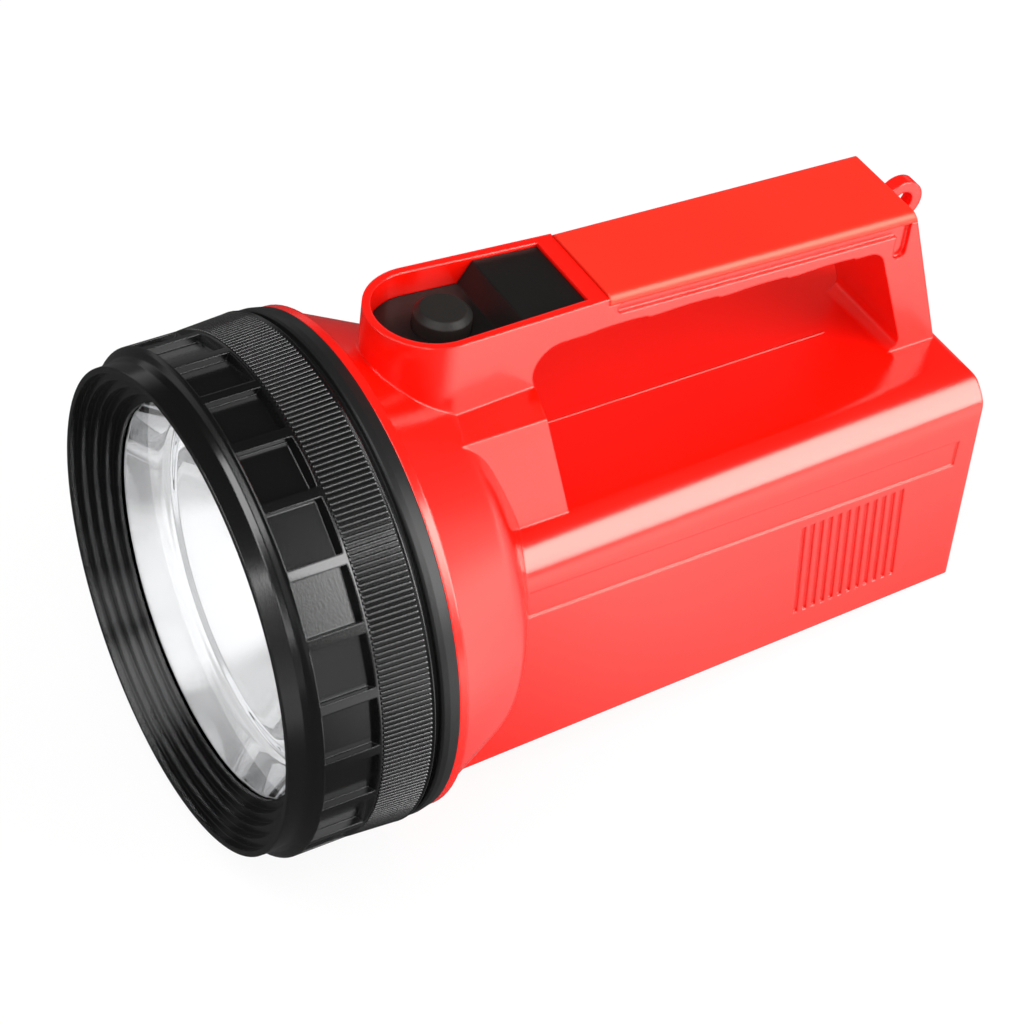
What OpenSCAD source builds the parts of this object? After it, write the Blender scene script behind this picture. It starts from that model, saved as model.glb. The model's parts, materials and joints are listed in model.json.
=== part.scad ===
// Hand lantern: screw-on lamp head, tapered battery body, bow handle and push switch.
// Built along the beam: station 0 is the front lip, stations grow towards the rear wall.

/* [Overall] */
// Length from the front lip to the rear wall
total_len = 231.5; // [222:0.5:250]
// Beam axis down to the underside of the body
belly_drop = 47.5; // [47:0.5:52]
// Beam axis up to the roof of the body
roof_rise = 24.4; // [24:0.2:28]

/* [Screw ring] */
// Outer radius of the ring over its grip ribs
grip_r = 70; // [69.5:0.25:73]
// Step from the grip ribs down to the front lip
lip_drop = 3.2; // [2.4:0.1:4]
// Thickness of the front lip
lip_w = 1.6; // [1.2:0.1:2.4]
// Length of the plain collar behind the lip
collar_len = 5; // [4:0.2:6]
// Length from the lip to the front of the grip ribs
flare_len = 7.6; // [7:0.2:9]
// Length of the grip pockets
pocket_len = 15.4; // [12:0.2:18]
// Number of grip pockets
pocket_n = 25; // [20:1:30]
// Width of the ribs between the pockets
pocket_rib = 3; // [2:0.25:4.5]
// Depth of the grip pockets
pocket_depth = 2.6; // [1.6:0.1:2.8]
// Width of the rims before and after the pockets
pocket_rim = 1; // [0.8:0.1:2]
// Length of the finely ribbed band
knurl_len = 13.8; // [11:0.2:16]
// Growth of the radius along the ribbed band
knurl_rise = 1; // [0.4:0.1:1.4]
// Length of the smooth band at the rear of the ring
band_len = 0.6; // [0.6:0.2:2]
// Number of stepped rings inside the lip
step_n = 4; // [3:1:5]
// Width of the stepped rings, from the lip to the clear opening
steps_w = 10.6; // [9:0.2:13]
// Distance from the lip to the lens
lens_set = 10.9; // [9.5:0.1:12]

/* [Neck and bell] */
// Wall of the screw ring round the neck
ring_wall = 5.5; // [5:0.1:6.5]
// Wall of the neck
neck_wall = 4; // [3:0.25:5]
// Length of the seal ring
seal_len = 6.6; // [5:0.2:8]
// Step from the grip ribs up to the seal ring
seal_rise = 0.6; // [0.2:0.1:1]
// Length of the red flange
flange_len = 2.8; // [2:0.2:4]
// Step from the seal ring down to the red flange
flange_drop = 0.8; // [0.4:0.1:1.6]
// Step from the flange down to the bell
bell_drop = 1.2; // [0.6:0.1:2]
// Length of the bell's front cone
cone_len = 19.2; // [17:0.2:22]
// Slope of the bell's front cone, from the beam
bell_slope = 25; // [22:0.5:27]
// Radius of the bell's rounded edge
bell_round = 18; // [14:0.5:22]
// Slope of the bell's rear cone, from the beam
bell_cone = 58; // [54:1:62]

/* [Body] */
// Width of the body where it leaves the bell
body_w_front = 87.8; // [86:0.4:94]
// Width of the body at the rear wall
body_w_rear = 77.8; // [77:0.4:84]
// Radius of the rounded shoulders
shoulder_r = 12.5; // [8:0.25:13.5]
// Radius of the rounded rear edges
rear_round = 2.6; // [2:0.2:4]
// Wall of the body
wall = 2.2; // [1.8:0.1:2.4]
// Height of the recessed band on each side
side_band_h = 9; // [6:0.5:11]
// Fall of the recessed band towards the rear
side_band_fall = 1.9; // [0:0.1:3]
// Number of upright grooves on each side
side_groove_n = 12; // [8:1:13]
// Pitch of the upright grooves
side_groove_pitch = 3.1; // [2.6:0.1:3.3]
// Length of the upright grooves
side_groove_len = 34; // [24:1:36]
// Distance from the rear wall to the foremost groove
side_groove_set = 57.5; // [50:0.5:62]

/* [Handle] */
// Width of the grip
grip_w = 30.4; // [28:0.4:34]
// Distance from the rear wall to the grip's rear top edge
grip_set = 17.5; // [15:0.5:22]
// Height of the grip's rear top edge over the beam
grip_rise = 72.8; // [70:0.4:78]
// Fall of the grip towards the rear
grip_fall = 2.4; // [0.5:0.1:3.5]
// Thickness of the grip
grip_t = 10.4; // [9:0.2:12]
// Depth of the finger scallops under the grip
scallop_depth = 0.5; // [0.3:0.1:1.2]
// Station of the finger gap's front wall, under the grip
gap_front = 94.6; // [93:0.2:98]
// Station of the finger gap's front wall, at the roof
gap_front_foot = 103.4; // [101:0.2:106]
// Distance from the rear wall to the finger gap, under the grip
gap_rear_set = 25.5; // [24:0.5:30]
// Distance from the rear wall to the finger gap, at the roof
gap_foot_set = 15.5; // [14:0.5:20]
// Distance from the rear wall to the post's rear edge, at the roof
post_set = 2.5; // [1.5:0.5:6]
// Half width of the front pillar at the roof
pillar_half = 33; // [30:0.25:34]
// Half width of the front pillar at its ledge
ledge_half = 27; // [25:0.25:28]
// Height of the ledge's outer edge over the beam
ledge_rise = 53.6; // [52:0.2:55]
// Rise of the ledge towards the switch housing
ledge_slope = 9.6; // [4:0.2:12]
// Station of the seam across the grip's top
seam_at = 116.7; // [114:0.5:122]
// Thickness of the plate on the grip
cover_t = 3; // [2.6:0.2:3.6]
// Radius of the plate's rounded edges
cover_round = 2.4; // [1.6:0.2:2.4]
// Height of the slot recess along the grip's side, under the plate
slot_h = 3.6; // [2.4:0.2:4]
// Depth of the slot recess
slot_depth = 1.4; // [1:0.1:2]

/* [Eyelet] */
// Outer radius of the lanyard eyelet
eyelet_r = 6.4; // [5.8:0.2:8]
// Radius of the hole in the eyelet
eyelet_hole_r = 3.2; // [2.6:0.1:3.4]
// Thickness of the eyelet
eyelet_t = 4; // [3.6:0.2:6]

/* [Switch] */
// Radius of the round front of the switch housing
housing_r = 17.2; // [17:0.2:19]
// Station of the centre of the round front
housing_at = 72; // [70:0.2:73]
// Step from the plate on the grip down to the housing's rim
housing_drop = 0.7; // [0.4:0.1:1]
// Wall round the switch well
well_wall = 2.2; // [1.8:0.1:2.6]
// Depth of the switch well
well_depth = 8; // [6.5:0.25:9]
// Station of the rear edge of the well
well_rear = 111.4; // [108:0.2:113]
// Thickness of the switch plate
plate_t = 2.4; // [1.8:0.2:3]
// Station of the button's axis
button_at = 76.2; // [75:0.2:77]
// Radius of the button
button_r = 7.7; // [6.5:0.1:8]
// Gap from the button's top down from the well's rim
button_drop = 2.4; // [2:0.2:3.2]
// Travel of the button
button_travel = 3; // [2:0.25:3.5]

/* [Lamp] */
// Thickness of the lens
lens_t = 3; // [2:0.2:4]
// Step from the neck's outside in to the lens
lens_inset = 2.9; // [2.2:0.1:3.6]
// Focal length of the reflector over its rim radius
focal_ratio = 0.218; // [0.21:0.002:0.225]
// Wall of the reflector
reflector_wall = 1.8; // [1.2:0.1:2.4]
// Thickness of the lens gasket
gasket_t = 2.7; // [2:0.1:3.5]
// Radius of the lamp's glass
glass_r = 5.2; // [4.4:0.1:5.3]

/* [Battery] */
// Room left round the battery, in its height
battery_gap = 0.8; // [0.6:0.1:2]
// Length of the ribs behind the battery
stop_len = 13.6; // [8:0.2:20]
// Length of the battery's terminal springs
spring_len = 13; // [10:0.5:15]

/* [Hidden] */
$fn = 128;
big = 300;
// Clearances: turning fit, loose seat, running fit, sliver of overlap for cuts
turn_gap = 0.3;
seat_gap = 0.15;
run_gap = 0.08;
cut = 1;
// Stations along the screw ring
y_pocket = flare_len + pocket_rim;
y_border = y_pocket + pocket_len;
y_knurl = y_border + pocket_rim;
y_band = y_knurl + knurl_len;
ring_len = y_band + band_len;
knurl_r = grip_r + knurl_rise;
knurl_cut = 0.4;
bore_r = grip_r - ring_wall;
neck_r = bore_r - turn_gap;
lip_r = grip_r - lip_drop;
lip_in = lip_r - lip_w;
// Shallow facet behind the collar, before the steep rise to the grip ribs
facet_len = 0.6 * (flare_len - collar_len);
facet_rise = 0.5 * facet_len;
rim_cut = 0.7 * pocket_rim;
aperture_r = lip_in - steps_w;
// Stations along the neck and the bell
y_seal = ring_len + 2 * turn_gap;
y_flange = y_seal + seal_len;
y_bell = y_flange + flange_len;
y_round = y_bell + cone_len;
seal_r = grip_r + seal_rise;
flange_r = seal_r - flange_drop;
bell_r = flange_r - bell_drop;
round_r = bell_r - cone_len * tan(bell_slope);
bell_cx = round_r - bell_round * cos(bell_slope);
bell_cy = y_round - bell_round * sin(bell_slope);
bell_end_r = bell_cx + bell_round * cos(bell_cone);
y_cone = bell_cy + bell_round * sin(bell_cone);
bell_small_r = bell_r / 2;
y_tail = y_cone + (bell_end_r - bell_small_r) / tan(bell_cone);
neck_in = neck_r - neck_wall;
// Stack from the lens to the neck
y_lens = lens_set;
y_rim = y_lens + lens_t;
y_gasket = y_rim + reflector_wall;
y_neck = y_gasket + gasket_t;
// Reflector, lamp and contacts
lens_r = neck_r - lens_inset;
bowl_r = aperture_r + 0.4;
focal = bowl_r * focal_ratio;
y_vertex = y_rim + bowl_r * bowl_r / (4 * focal);
hub_in = 7.2;
hub_r = 11;
lamp_hole_r = glass_r + 0.3;
y_lamp_seat = y_vertex + reflector_wall + 1.4;
glass_len = 24;
y_glass = y_lamp_seat - 6;
y_hub = y_lamp_seat + 7;
holder_len = 5;
holder_wall = 3;
y_holder = y_hub + holder_len;
board_t = 3;
y_board = y_holder + board_t;
strip_t = 0.6;
strip_w = 16;
strip_over = 9;
strip_lap = 6;
y_strip = y_board + strip_t;
y_battery = y_strip + spring_len;
battery_top_t = 4;
y_case = y_battery + battery_top_t;
pad_t = 5;
y_inner = total_len - wall;
y_case_end = y_inner - stop_len - pad_t;
battery_w = belly_drop + roof_rise - 2 * wall - battery_gap;
battery_corner = 6;
battery_z = -belly_drop + wall + battery_w / 2;
side_spring_x = battery_w * 0.3;
side_spring_z = battery_z - battery_w * 0.3;
// Body taper
body_at = 80;
taper = atan((body_w_front - body_w_rear) / 2 / (total_len - body_at));
function half_w(y) = body_w_front / 2 - (y - body_at) * tan(taper);
// Stations along the handle
grip_rear = total_len - grip_set;
gap_rear = total_len - gap_rear_set;
gap_rear_foot = total_len - gap_foot_set;
post_foot = total_len - post_set;
rear_lean = (post_foot - grip_rear) / (grip_rise - roof_rise);
function rear_y(z) = grip_rear + (grip_rise - z) * rear_lean;
// Top of the grip: a frame whose origin is the rear top edge, with y along the top and z out of it
function top_z(y) = grip_rise + (grip_rear - y) * tan(grip_fall);
function top_t(y) = (y - grip_rear) / cos(grip_fall);
plate_z = -well_depth;
plate_under = plate_z - plate_t;
block_foot = button_at + button_r + 4.6;
block_rake = 3.8;
block_top = -1.7;
block_under = -0.6 * grip_t;
flange_t = 1.6;
flange_over = 1.4;
button_spring_len = 7;
switch_h = 9;
switch_w = 17;
switch_l = 19;
switch_z = plate_under - flange_t - button_spring_len;
pocket_z = switch_z - switch_h;
housing_tail = 12;
housing_taper = (housing_r - grip_w / 2) / (seam_at - housing_at);
well_half = grip_w / 2 - well_wall;
gap_round = 8;
gap_rear_round = 6;
under_front = top_z(gap_front + gap_round) - grip_t;
under_rear = top_z(gap_rear - gap_rear_round) - grip_t;
gap_front_z = under_front - gap_round;
rake = atan((gap_front_foot - gap_front) / (gap_front_z - roof_rise));
foot_round = 4;
scallop_pitch = 22;
scallop_n = 4;
scallop_r = (scallop_pitch * scallop_pitch / 4 + scallop_depth * scallop_depth) / (2 * scallop_depth);
under_start = gap_front + gap_round;
under_end = gap_rear - gap_rear_round;
function under_z(y) = under_front + (under_rear - under_front) * (y - under_start) / (under_end - under_start);
eyelet_y = grip_rear + eyelet_r - 0.5;
eyelet_z = grip_rise - eyelet_r - 0.6;
red = [0.93, 0.12, 0.06];
black = [0.09, 0.09, 0.09];
brass = [0.85, 0.68, 0.3];

// Points of an arc in a section
function arc(cx, cy, r, a0, a1, n = 10) = [for (i = [0:n]) let (a = a0 + (a1 - a0) * i / n)
    [cx + r * cos(a), cy + r * sin(a)]];
// Radius of a parabola at a station, with its vertex at v
function bowl(y, v) = sqrt(4 * focal * max(v - y, 0));

// Puts the lamp on its lowest point, centred over the ground
module lamp() { translate([0, -total_len / 2, knurl_r]) children(); }
// Turns a section of radius and station round the beam
module round_beam() { rotate([-90, 0, 0]) rotate_extrude() children(); }
// Extrudes a section of width and height along the beam, from y0 to y1
module along_beam(y0, y1) {
    translate([0, y1, 0]) rotate([90, 0, 0]) linear_extrude(y1 - y0) children();
}
// Extrudes a side view of station and height across the lamp
module across(half) {
    rotate([90, 0, 90]) translate([0, 0, -half]) linear_extrude(2 * half) children();
}
// Works in the frame of the grip's sloping top
module on_top() { translate([0, grip_rear, grip_rise]) rotate([-grip_fall, 0, 0]) children(); }
module tube(r_out, r_in, y0, y1) {
    round_beam() translate([r_in, y0]) square([r_out - r_in, y1 - y0]);
}
module disc(r, y0, y1) { round_beam() translate([0, y0]) square([r, y1 - y0]); }

// One tapered side of the body, with its rounded shoulder
module side_prism(inset) {
    translate([body_w_front / 2, body_at, 0]) rotate([0, 0, taper]) along_beam(-big / 3, big) {
        translate([-big, -belly_drop + inset]) square([big - inset, belly_drop + roof_rise - shoulder_r - inset]);
        translate([-big, -belly_drop + inset]) square([big - shoulder_r, belly_drop + roof_rise - 2 * inset]);
        translate([-shoulder_r, roof_rise - shoulder_r]) circle(r = shoulder_r - inset);
    }
}
module body_box(inset, y0, y1) {
    intersection() {
        side_prism(inset);
        mirror([1, 0, 0]) side_prism(inset);
        translate([-big / 2, y0, -big / 2]) cube([big, y1 - y0, big]);
    }
}
// Keeps what lies inside the rounded rear edges
module rear_rounds() {
    y = total_len - rear_round;
    across(big / 3) polygon(concat([[0, -big / 3], [total_len, -big / 3]],
        arc(y, roof_rise - rear_round, rear_round, 0, 80, 6), [[0, big / 3]]));
}
module rear_sides() {
    half = half_w(total_len);
    r = rear_round / 2;
    corner = arc(half - r, total_len - r, r, 10, 90, 6);
    translate([0, 0, -big / 3]) linear_extrude(big) polygon(concat([[big / 3, 0]], corner,
        [for (i = [len(corner) - 1:-1:0]) [-corner[i][0], corner[i][1]]], [[-big / 3, 0]]));
}
// Outline of the bell; thinned by the wall for its inside
module bell_outside() {
    round_beam() polygon(concat([[0, y_flange], [flange_r, y_flange], [flange_r, y_bell], [bell_r, y_bell]],
        arc(bell_cx, bell_cy, bell_round, bell_slope, bell_cone),
        [[bell_small_r, y_tail], [0, y_tail]]));
}
module bell_inside() {
    step = wall / sin(bell_cone);
    start_r = round_r - wall * cos(bell_slope);
    y_start = y_round - wall * sin(bell_slope);
    round_beam() polygon(concat([[0, y_neck - cut], [neck_in, y_neck - cut],
        [neck_in, y_start - (neck_in - start_r) / tan(bell_slope)]],
        arc(bell_cx, bell_cy, bell_round - wall, bell_slope, bell_cone),
        [[bell_small_r, y_tail - step], [bell_small_r, y_tail + cut], [0, y_tail + cut]]));
}
// Teardrop plan of the switch housing and of its well
module teardrop(r, rear, half_rear) {
    translate([0, top_t(housing_at)]) circle(r = r);
    polygon([[-r, top_t(housing_at)], [r, top_t(housing_at)], [half_rear, rear], [-half_rear, rear]]);
}
module well_plan(gap) { teardrop(housing_r - well_wall - gap, top_t(well_rear) - gap, well_half - gap); }
// Side view of the grip bar and the raked post
module grip_side() {
    low = grip_rise - housing_drop;
    polygon([[housing_at + housing_r, 0], [housing_at + housing_r, top_z(housing_at + housing_r) - housing_drop],
        [rear_y(low), low], [post_foot, roof_rise], [post_foot, 0]]);
}
// Front view of the pillar: leaning sides under a ledge that rises to the housing
module pillar_front() {
    lean = (pillar_half - ledge_half) / (ledge_rise - roof_rise);
    foot = ledge_half + ledge_rise * lean;
    inner = housing_r - cut;
    crest = ledge_rise + (ledge_half - inner) * tan(ledge_slope);
    polygon([[-foot, 0], [-ledge_half, ledge_rise], [-inner, crest], [inner, crest], [ledge_half, ledge_rise],
        [foot, 0]]);
}
// Front pillar: its rear face leans forward and sweeps forward towards both sides
module pillar() {
    sweep = 15.9;
    mid = grip_w / 2 + 1.3;
    lead = 3;
    out = big / 5;
    intersection() {
        along_beam(y_bell + cut, gap_front_foot + cut) pillar_front();
        translate([0, gap_front, gap_front_z]) rotate([rake, 0, 0]) translate([0, 0, -big / 3])
            linear_extrude(big / 2) polygon([[-out, -big / 3], [out, -big / 3], [out, (mid - out) * tan(sweep)],
                [mid - lead / tan(sweep), lead], [lead / tan(sweep) - mid, lead], [-out, (mid - out) * tan(sweep)]]);
    }
}
// Side view of the finger gap, with the finger scallops along its top
module gap_side() {
    hull() {
        translate([under_start, under_front - gap_round]) circle(r = gap_round, $fn = 48);
        translate([under_end, under_rear - gap_rear_round]) circle(r = gap_rear_round, $fn = 48);
        translate([gap_front_foot + 3, roof_rise - 2]) circle(r = 3, $fn = 24);
        translate([gap_rear_foot - foot_round, roof_rise + foot_round - 0.1]) circle(r = foot_round, $fn = 48);
    }
    for (i = [0:scallop_n - 1]) {
        y = (under_start + under_end + (2 * i - scallop_n + 1) * scallop_pitch) / 2;
        translate([y, under_z(y) + scallop_depth]) intersection() {
            translate([0, -scallop_r]) circle(r = scallop_r, $fn = 256);
            translate([-scallop_pitch / 2, -3 * scallop_depth]) square([scallop_pitch, 3 * scallop_depth + cut]);
        }
    }
}
// Recess along the grip's side, under the plate, that turns down into the post
module grip_slot(side) {
    r = slot_h / 2;
    leg_r = 2.2;
    leg_drop = 4 * slot_h - leg_r;
    front = top_t(seam_at + 3) + r;
    leg = -leg_r - 0.8;
    on_top() translate([side * (grip_w / 2 - slot_depth), 0, 0]) rotate([0, side * 90, 0])
        linear_extrude(slot_depth + cut) scale([side, 1]) {
            translate([cover_t - cut, front]) square([slot_h + cut, leg - front]);
            translate([cover_t + r, front]) circle(r = r, $fn = 32);
            translate([cover_t - cut, leg - leg_r]) square([leg_drop - cover_t + cut, 2 * leg_r]);
            translate([leg_drop, leg]) circle(r = leg_r, $fn = 32);
        }
}
// Recessed band and upright grooves on one side of the body
module side_marks() {
    translate([body_w_front / 2, body_at, 0]) rotate([0, 0, taper]) {
        rotate([-side_band_fall, 0, 0]) translate([-0.6, 1, 2])
            cube([big, total_len - body_at - 8, side_band_h]);
        for (i = [0:side_groove_n - 1])
            translate([-0.8, total_len - body_at - side_groove_set + i * side_groove_pitch, -4.5 - side_groove_len])
                rotate([4, 0, 0]) cube([big, side_groove_pitch / 2, side_groove_len]);
    }
}
module eyelet() {
    translate([-eyelet_t / 2, eyelet_y, eyelet_z]) rotate([0, 90, 0]) cylinder(r = eyelet_r, h = eyelet_t);
}
module switch_pockets() {
    on_top() {
        intersection() {
            translate([0, 0, plate_under]) linear_extrude(big) well_plan(0);
            across(big / 3) polygon([[-big, plate_under - cut], [top_t(block_foot) + block_rake, plate_under - cut],
                [top_t(block_foot) + block_rake, block_under], [cut, block_under], [cut, big / 2], [-big, big / 2]]);
        }
        translate([-switch_w / 2 - seat_gap, top_t(button_at) - switch_l / 2 - seat_gap, pocket_z])
            cube([switch_w + 2 * seat_gap, switch_l + 2 * seat_gap, plate_under - pocket_z + cut]);
        translate([0, top_t(button_at), switch_z])
            cylinder(r = button_r + flange_over + 0.6, h = plate_under - switch_z + cut);
        translate([-switch_w / 2 + 3, top_t(button_at) - switch_l / 2 + 3, pocket_z - 3 * wall])
            cube([switch_w - 6, switch_l - 6, 3 * wall + cut]);
    }
}
module switch_box() {
    on_top() translate([-switch_w / 2 - wall, top_t(button_at) - switch_l / 2 - wall, pocket_z - wall])
        cube([switch_w + 2 * wall, switch_l + 2 * wall, -pocket_z + plate_under + wall]);
}
// Front view of the plate on the grip
module cover_front() {
    half = grip_w / 2;
    translate([-half, -cover_t]) square([grip_w, cover_t - cover_round]);
    translate([cover_round - half, -cover_t]) square([grip_w - 2 * cover_round, cover_t]);
    for (side = [-1, 1]) translate([side * (half - cover_round), -cover_round]) intersection() {
        circle(r = cover_round, $fn = 48);
        translate([-2 * cover_round, cover_round - cover_t]) square([4 * cover_round, cover_t]);
    }
}
module upper_works() {
    difference() {
        union() {
            across(grip_w / 2) grip_side();
            pillar();
            on_top() translate([0, 0, -big / 10]) linear_extrude(big / 10 - housing_drop)
                teardrop(housing_r, top_t(seam_at + housing_tail), grip_w / 2 - housing_tail * housing_taper);
        }
        across(big / 4) gap_side();
        on_top() translate([-big / 4, top_t(seam_at), -cover_t]) cube([big / 2, big / 2, big / 4]);
    }
}
module rear_stops() {
    for (x = [-1, 1], z = [-1, 1])
        translate([x * battery_w / 4 - 1.5, y_case_end + pad_t, battery_z + z * battery_w / 4 - 8])
            cube([3, y_inner - y_case_end - pad_t + wall / 2, 16]);
}
module body_shell() {
    color(red) lamp() difference() {
        union() {
            difference() {
                union() {
                    intersection() {
                        body_box(0, y_bell + cut, total_len);
                        rear_rounds();
                        rear_sides();
                    }
                    bell_outside();
                    tube(neck_r, neck_in - wall, y_neck, y_flange + cut);
                    upper_works();
                    eyelet();
                }
                bell_inside();
                body_box(wall, y_cone - wall, y_inner);
            }
            switch_box();
            rear_stops();
        }
        switch_pockets();
        for (side = [-1, 1]) grip_slot(side);
        side_marks();
        mirror([1, 0, 0]) side_marks();
        translate([0, eyelet_y, eyelet_z]) rotate([0, 90, 0])
            cylinder(r = eyelet_hole_r, h = 2 * eyelet_t, center = true);
    }
}
module handle_cover() {
    color(red) lamp() difference() {
        intersection() {
            on_top() along_beam(top_t(seam_at) + seat_gap, big / 10) cover_front();
            across(big / 4) polygon([[0, 0], [rear_y(0), 0], [rear_y(big / 2), big / 2], [0, big / 2]]);
        }
        translate([-eyelet_t / 2 - seat_gap, eyelet_y, eyelet_z]) rotate([0, 90, 0])
            cylinder(r = eyelet_r + seat_gap, h = eyelet_t + 2 * seat_gap);
    }
}
// Grip pockets round the screw ring
module pockets() {
    half = PI * grip_r / pocket_n - pocket_rib / 2;
    floor_r = grip_r - pocket_depth;
    run = pocket_depth / 2;
    for (i = [0:pocket_n - 1])
        rotate([0, (i + 0.5) * 360 / pocket_n, 0]) across(half)
            polygon([[y_pocket, floor_r], [y_border - run, floor_r], [y_border + run / 2, grip_r + pocket_depth / 2],
                [y_pocket, grip_r + pocket_depth / 2]]);
}
module bezel_ring() {
    run = (lip_in - aperture_r) / step_n;
    rise = (y_lens - turn_gap - 1.2) / step_n;
    steps = [for (i = [0:step_n - 1], k = [0, 1]) [lip_in - (i + k) * run, (i + 1) * rise]];
    color(black) lamp() difference() {
        round_beam() polygon(concat([[lip_r, 0], [lip_r + 0.2, collar_len],
            [lip_r + 0.2 + facet_rise, collar_len + facet_len], [grip_r - rim_cut, flare_len],
            [grip_r, flare_len + rim_cut], [grip_r, y_knurl - knurl_cut],
            [grip_r - knurl_cut, y_knurl], [knurl_r - knurl_cut, y_band - knurl_cut],
            [knurl_r, y_band], [knurl_r, y_band + band_len / 2], [knurl_r - 0.4, ring_len],
            [bore_r, ring_len], [bore_r, y_lens - turn_gap],
            [aperture_r, y_lens - turn_gap]],
            [for (i = [len(steps) - 1:-1:0]) steps[i]], [[lip_in, 0]]));
        pockets();
    }
}
module seal_ring() {
    step = 1.2;
    color(black) lamp() round_beam() polygon([[neck_r, y_seal], [seal_r - 2, y_seal], [seal_r - 2, y_seal + step],
        [seal_r - 0.4, y_seal + step], [seal_r, y_seal + step + 0.6], [seal_r, y_flange - 3],
        [seal_r - 0.6, y_flange], [neck_r, y_flange]]);
}
module lens() { color([0.9, 0.95, 1, 0.4]) lamp() disc(lens_r, y_lens, y_rim); }
module lens_gasket() {
    color([0.15, 0.15, 0.15]) lamp() tube(neck_r - turn_gap, neck_in - 1, y_gasket, y_neck);
}
module reflector() {
    back = y_vertex + reflector_wall;
    n = 24;
    y_hole = y_vertex - lamp_hole_r * lamp_hole_r / (4 * focal);
    y_out = back - hub_r * hub_r / (4 * focal);
    inner = [for (i = [0:n]) let (y = y_rim + (y_hole - y_rim) * i / n) [bowl(y, y_vertex), y]];
    outer = [for (i = [0:n]) let (y = y_out + (y_gasket - y_out) * i / n) [bowl(y, back) + 0.6, y]];
    color([0.85, 0.86, 0.88]) lamp() round_beam() polygon(concat([[lens_r, y_rim]], inner,
        [[lamp_hole_r, y_lamp_seat], [hub_in, y_lamp_seat], [hub_in, y_hub], [hub_r, y_hub], [hub_r, y_out]],
        outer, [[lens_r, y_gasket]]));
}
module bulb_glass() {
    color([0.95, 0.95, 0.9, 0.5]) lamp() round_beam() polygon(concat(
        [[0, y_glass], [glass_r - 1, y_glass]],
        arc(0, y_glass - glass_len + glass_r, glass_r, 0, -90)));
}
module bulb_base() {
    color(brass) lamp() {
        disc(glass_r - 0.4, y_glass, y_lamp_seat);
        disc(hub_in - 0.3, y_lamp_seat, y_lamp_seat + 1.5);
        disc(glass_r - 0.4, y_lamp_seat + 1.5, y_hub - 1.5);
    }
}
module bulb_holder() {
    color([0.2, 0.2, 0.2]) lamp() difference() {
        disc(hub_r + holder_wall, y_hub - holder_len, y_holder);
        disc(hub_r, y_hub - holder_len - cut, y_hub);
        disc(3.4, y_hub - cut, y_holder + cut);
    }
}
module bulb_contact() { color(brass) lamp() disc(3, y_hub - 1.5, y_board); }
module contact_board() {
    color([0.6, 0.5, 0.35]) lamp() difference() {
        along_beam(y_holder, y_board)
            translate([-battery_w * 0.46, -battery_w * 0.62]) square([battery_w * 0.92, battery_w * 0.88]);
        disc(3.4, y_holder - cut, y_board + cut);
    }
}
module contact_centre() {
    color(brass) lamp() along_beam(y_board, y_strip)
        translate([-strip_w / 2, battery_z - strip_over]) square([strip_w, strip_over + strip_lap - battery_z]);
}
module contact_side() {
    color(brass) lamp() along_beam(y_board, y_strip)
        translate([side_spring_x - strip_over, side_spring_z - strip_w / 2]) square([2 * strip_over, strip_w]);
}
module battery_plan(inset) {
    r = battery_corner - inset;
    h = battery_w / 2 - battery_corner;
    translate([-h, -h - r]) square([2 * h, 2 * h + 2 * r]);
    translate([-h - r, -h]) square([2 * h + 2 * r, 2 * h]);
    for (x = [-1, 1], z = [-1, 1]) translate([x * h, z * h]) circle(r = r, $fn = 32);
}
module battery_case() {
    color([0.25, 0.25, 0.28]) lamp() translate([0, 0, battery_z]) along_beam(y_case, y_case_end) battery_plan(0);
}
module battery_top() {
    color([0.12, 0.12, 0.12]) lamp() translate([0, 0, battery_z]) along_beam(y_battery, y_case) battery_plan(0.8);
}
module terminal(x, z) {
    translate([x, 0, z]) round_beam() polygon([[0, y_strip], [4, y_strip], [7, y_battery], [0, y_battery]]);
}
module battery_springs() {
    color([0.8, 0.8, 0.8]) lamp() {
        terminal(0, battery_z);
        terminal(side_spring_x, side_spring_z);
    }
}
module battery_pad() {
    color([0.3, 0.3, 0.3]) lamp() translate([0, 0, battery_z]) along_beam(y_case_end, y_case_end + pad_t)
        square([battery_w * 0.75, battery_w * 0.75], center = true);
}
// Switch insert: plate over the well's floor, with the raised block behind the button
module switch_plate() {
    front = top_t(housing_at) - big / 6;
    foot = top_t(block_foot);
    rear = top_t(well_rear);
    color(black) lamp() on_top() difference() {
        intersection() {
            translate([0, 0, plate_under]) linear_extrude(plate_t + well_depth) well_plan(seat_gap);
            across(big / 4) polygon([[front, plate_under], [front, plate_z], [foot, plate_z],
                [foot + block_rake, block_top], [rear, block_top], [rear, block_under],
                [foot + block_rake - seat_gap, block_under], [foot + block_rake - seat_gap, plate_under]]);
        }
        translate([0, top_t(button_at), plate_under - cut]) cylinder(r = button_r + run_gap, h = plate_t + 2 * cut);
    }
}
module push_button() {
    bevel = 1.6;
    color([0.16, 0.15, 0.15]) lamp() on_top() translate([0, top_t(button_at), 0]) {
        translate([0, 0, plate_under - flange_t]) cylinder(r = button_r + flange_over, h = flange_t);
        translate([0, 0, plate_under - flange_t / 2])
            cylinder(r = button_r, h = -plate_under - button_drop - bevel + flange_t / 2);
        translate([0, 0, -button_drop - bevel]) cylinder(r1 = button_r, r2 = button_r - bevel, h = bevel);
    }
}
module button_spring() {
    color([0.8, 0.8, 0.8]) lamp() on_top() translate([0, top_t(button_at), switch_z]) difference() {
        cylinder(r = 4, h = button_spring_len);
        translate([0, 0, -cut]) cylinder(r = 3, h = button_spring_len + 2 * cut);
    }
}
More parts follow.
